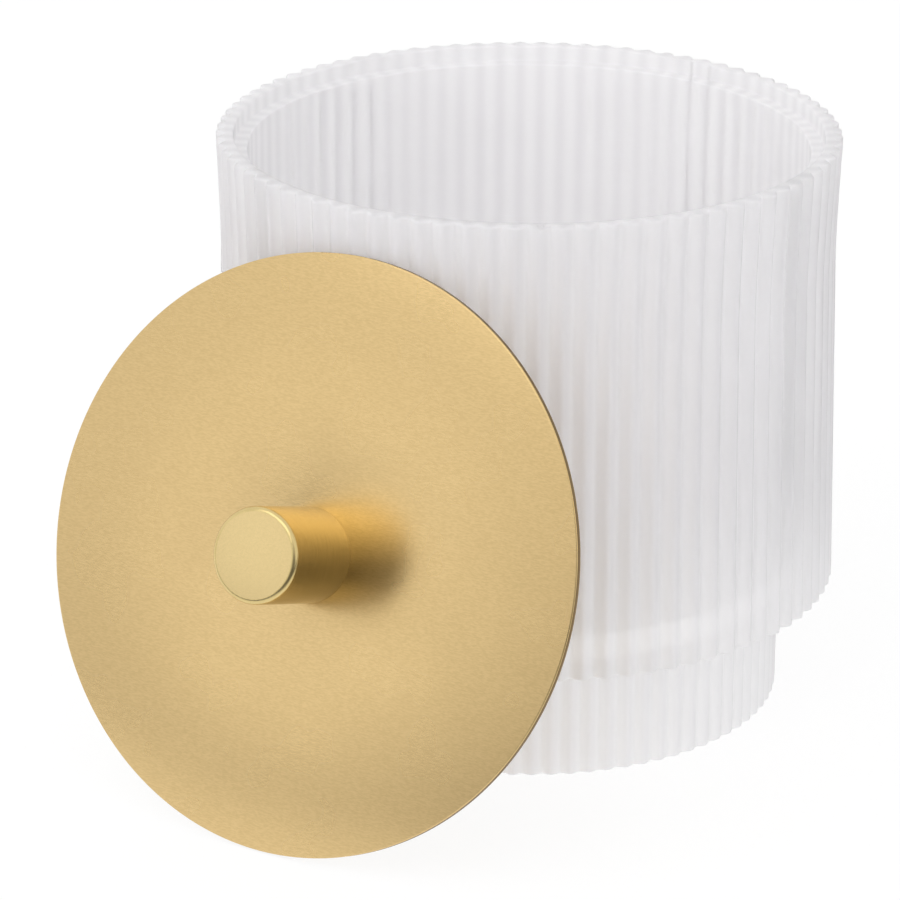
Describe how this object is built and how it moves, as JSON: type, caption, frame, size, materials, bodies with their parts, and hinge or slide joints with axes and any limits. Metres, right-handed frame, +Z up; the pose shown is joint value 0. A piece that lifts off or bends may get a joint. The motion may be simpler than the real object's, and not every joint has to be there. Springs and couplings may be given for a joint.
{
  "type": "cotton jar",
  "caption": "Frosted glass jar with a reeded wall on a narrower reeded foot, and a flat brass disc lid with a plain cylindrical knob leaning against it.",
  "frame": {"origin": "centre of the underside of the jar's foot, on the jar's own axis", "axes": "+Z up along the jar's axis, -Y towards the front, +X to the right as seen from the front"},
  "size_m": [0.1239, 0.1339, 0.0942],
  "materials": {
    "jar": "frosted, satin to the touch",
    "lid_plate": "fine brushed satin",
    "knob": "fine brushed satin",
    "knob_screw": "plain bright steel"
  },
  "bodies": {
    "root": {"jar": "jar", "lid_plate": "lid_plate", "knob": "knob", "knob_screw": "knob_screw"}
  },
  "joints": []
}
